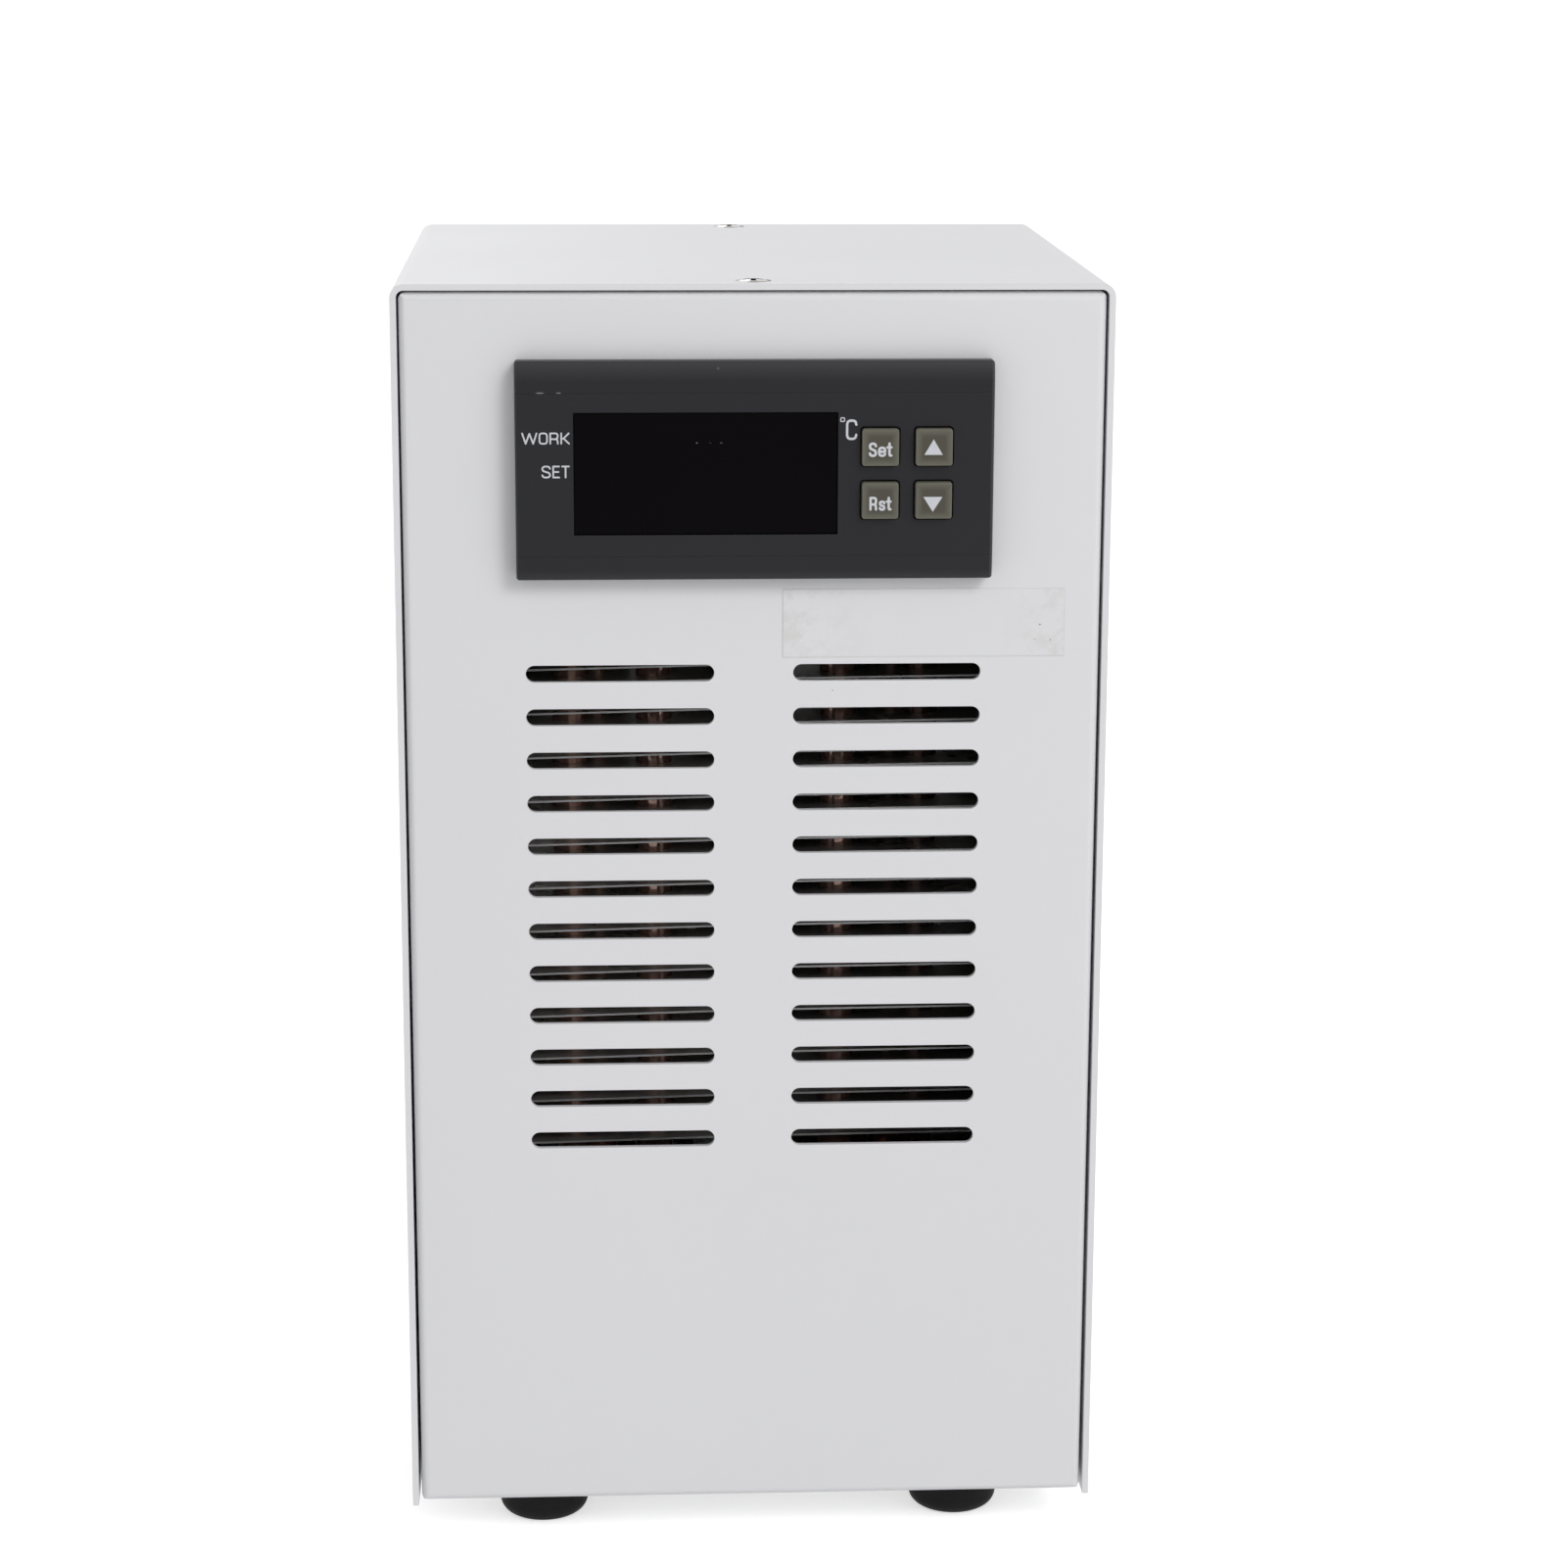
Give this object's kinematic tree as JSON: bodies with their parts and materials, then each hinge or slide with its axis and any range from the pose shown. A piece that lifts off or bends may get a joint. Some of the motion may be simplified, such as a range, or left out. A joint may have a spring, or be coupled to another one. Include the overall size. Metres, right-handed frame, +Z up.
{
  "type": "aquarium chiller",
  "caption": "Small upright thermoelectric chiller for aquarium water: a sheet-metal box with a front temperature controller, air slots, a rear fan and two rear hose tails.",
  "frame": {"origin": "centre of the overall box at the underside of the feet", "axes": "+Z up, the front panel faces -Y, the hose tails point to +Y, +X is to the right seen from the front"},
  "size_m": [0.1144, 0.1456, 0.2111],
  "materials": {
    "white_paint": "smooth white stove enamel, half gloss",
    "zinc_steel": "bright zinc-plated steel",
    "black_rubber": "matt black rubber",
    "label_film": "thin blank film",
    "grey_plastic": "moulded dark grey plastic, half gloss",
    "black_plastic": "moulded black plastic",
    "smoked_window": "polished smoked acrylic",
    "circuit_board": "green solder resist",
    "key_cap": "translucent grey silicone rubber",
    "black_foam": "closed-cell foam",
    "aluminium": "bare aluminium",
    "brass": "turned brass",
    "ceramic": "white alumina plates",
    "copper": "bare copper",
    "chrome_wire": "chrome-plated wire",
    "clear_hose": "milky silicone hose"
  },
  "bodies": {
    "case": {"cover": "white_paint", "front_panel": "white_paint", "rear_panel": "white_paint", "floor_tray": "white_paint", "cover_top_screws": "zinc_steel", "cover_side_screws": "zinc_steel", "press_nuts": "zinc_steel", "foot_front_left": "black_rubber", "foot_front_right": "black_rubber", "foot_rear_left": "black_rubber", "foot_rear_right": "black_rubber", "foot_screws": "zinc_steel", "foot_nuts": "zinc_steel", "blank_label": "label_film", "controller_bezel": "grey_plastic", "controller_gasket": "black_rubber", "controller_housing": "black_plastic", "mounting_clips": "black_plastic", "display_window": "smoked_window", "display_module": "black_plastic", "control_boards": "circuit_board", "key_switches": "black_plastic", "terminal_block": "black_plastic", "terminal_screws": "zinc_steel", "foam_pad": "black_foam", "foam_collar": "black_foam", "water_block": "aluminium", "block_lid": "aluminium", "block_barbs": "brass", "thermoelectric_module": "ceramic", "hot_plate": "copper", "pipe_block": "aluminium", "heat_pipe_front": "copper", "heat_pipe_outer": "copper", "heat_pipe_middle": "copper", "heat_pipe_rear": "copper", "cooling_fins": "aluminium", "standoffs": "zinc_steel", "clamp_screws": "zinc_steel", "fan_frame": "black_plastic", "fan_bearing": "brass", "fan_stator": "copper", "fan_guard": "chrome_wire", "fan_screws": "zinc_steel", "hose_tail_inlet": "brass", "hose_tail_outlet": "brass", "hose_tail_seals": "black_rubber", "hose_tail_nuts": "brass", "inner_hoses": "clear_hose", "inlet_jack": "black_plastic", "inlet_jack_nut": "zinc_steel", "temperature_probe": "zinc_steel", "wiring": "black_rubber"},
    "fan_wheel": {"fan_rotor": "black_plastic", "fan_shaft": "zinc_steel"},
    "set_button": {"key_set": "key_cap"},
    "reset_button": {"key_reset": "key_cap"},
    "up_button": {"key_up": "key_cap"},
    "down_button": {"key_down": "key_cap"}
  },
  "joints": [
    {"name": "fan_spin", "type": "hinge", "parent": "case", "child": "fan_wheel", "pos_m": [0, 0.0298, 0.10825], "axis": [0, 1, 0], "continuous": true},
    {"name": "set_press", "type": "slide", "parent": "case", "child": "set_button", "axis": [0, 1, 0], "range_m": [0, 0.0006], "stiffness_N_per_m": 600},
    {"name": "reset_press", "type": "slide", "parent": "case", "child": "reset_button", "axis": [0, 1, 0], "range_m": [0, 0.0006], "stiffness_N_per_m": 600},
    {"name": "up_press", "type": "slide", "parent": "case", "child": "up_button", "axis": [0, 1, 0], "range_m": [0, 0.0006], "stiffness_N_per_m": 600},
    {"name": "down_press", "type": "slide", "parent": "case", "child": "down_button", "axis": [0, 1, 0], "range_m": [0, 0.0006], "stiffness_N_per_m": 600}
  ]
}
